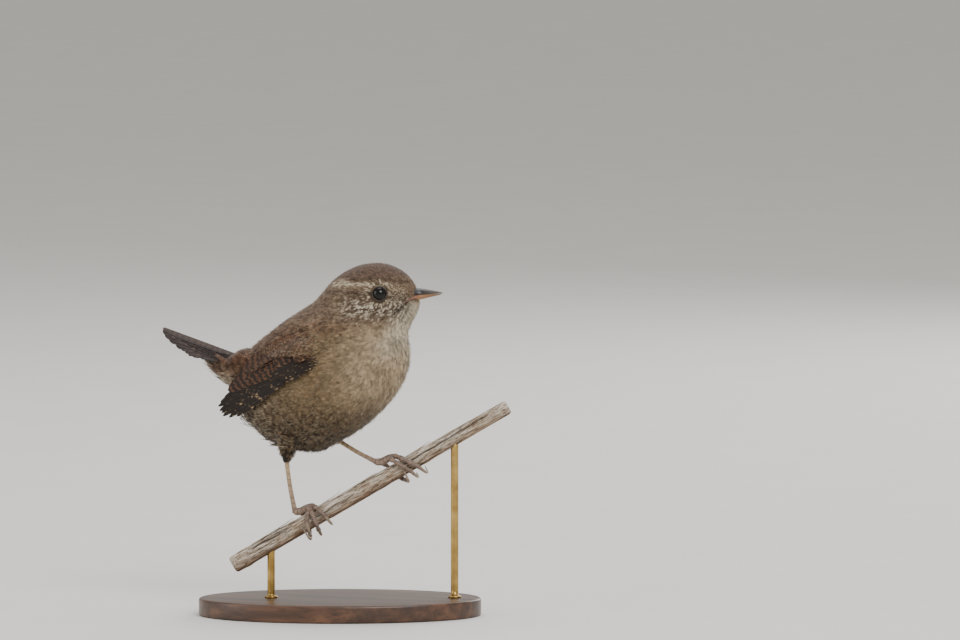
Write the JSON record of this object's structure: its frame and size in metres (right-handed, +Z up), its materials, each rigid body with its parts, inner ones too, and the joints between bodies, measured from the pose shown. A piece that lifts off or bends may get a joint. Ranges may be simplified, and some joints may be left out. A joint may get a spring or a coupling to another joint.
{
  "type": "wren",
  "caption": "Still, life-size wren with cocked tail, gripping a cut length of dry stem that rods hold above a flat base.",
  "frame": {"origin": "middle of the underside of the stand's base", "axes": "+X the way the wren's body faces, +Y its left, +Z up"},
  "size_m": [0.1194, 0.0604, 0.1204],
  "materials": {
    "base_wood": "dark hardwood, satin varnish",
    "rod_brass": "dull drawn brass",
    "perch_wood": "dry weathered stem, matt",
    "head_plumage": "soft body feathers, matt",
    "body_plumage": "soft body feathers, matt",
    "flight_feathers": "firm barred feathers, faint sheen",
    "bill_horn": "thin horn over bone, satin",
    "leg_scales": "smooth scales, satin",
    "claw_horn": "pale horn, satin",
    "eye": "wet dark eye, high gloss"
  },
  "bodies": {
    "root": {"stand_base": "base_wood", "stand_rod_back": "rod_brass", "stand_rod_front": "rod_brass", "perch": "perch_wood", "head": "head_plumage", "bill_upper": "bill_horn", "bill_lower": "bill_horn", "neck": "body_plumage", "torso": "body_plumage", "tail_coverts": "body_plumage", "tail": "flight_feathers", "eye_right": "eye", "wing_right": "flight_feathers", "thigh_right": "body_plumage", "tarsus_right": "leg_scales", "foot_right": "leg_scales", "claw_right_hallux": "claw_horn", "claw_right_inner": "claw_horn", "claw_right_middle": "claw_horn", "claw_right_outer": "claw_horn", "eye_left": "eye", "wing_left": "flight_feathers", "thigh_left": "body_plumage", "tarsus_left": "leg_scales", "foot_left": "leg_scales", "claw_left_hallux": "claw_horn", "claw_left_inner": "claw_horn", "claw_left_middle": "claw_horn", "claw_left_outer": "claw_horn"}
  },
  "joints": []
}
